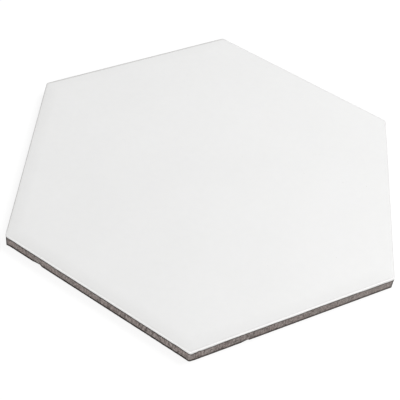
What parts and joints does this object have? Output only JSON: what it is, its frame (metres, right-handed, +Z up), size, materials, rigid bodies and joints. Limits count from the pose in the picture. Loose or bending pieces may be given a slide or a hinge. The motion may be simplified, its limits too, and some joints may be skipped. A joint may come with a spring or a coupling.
{
  "type": "hexagon floor tile",
  "caption": "Flat hexagonal porcelain floor tile with a smooth matte white glazed face, bare taupe sides and a honeycomb-keyed back with break-outs in its rim.",
  "frame": {"origin": "middle of the tile's foot, the plane that it lies on", "axes": "+Z up, out of the glazed face; +Y towards one corner of the hexagon; +X out of one flat side"},
  "size_m": [0.219, 0.2524, 0.009],
  "materials": {
    "hexagon_tile": "matte white glaze on the face, bare fired taupe body on the sides and back"
  },
  "bodies": {
    "root": {"hexagon_tile": "hexagon_tile"}
  },
  "joints": []
}
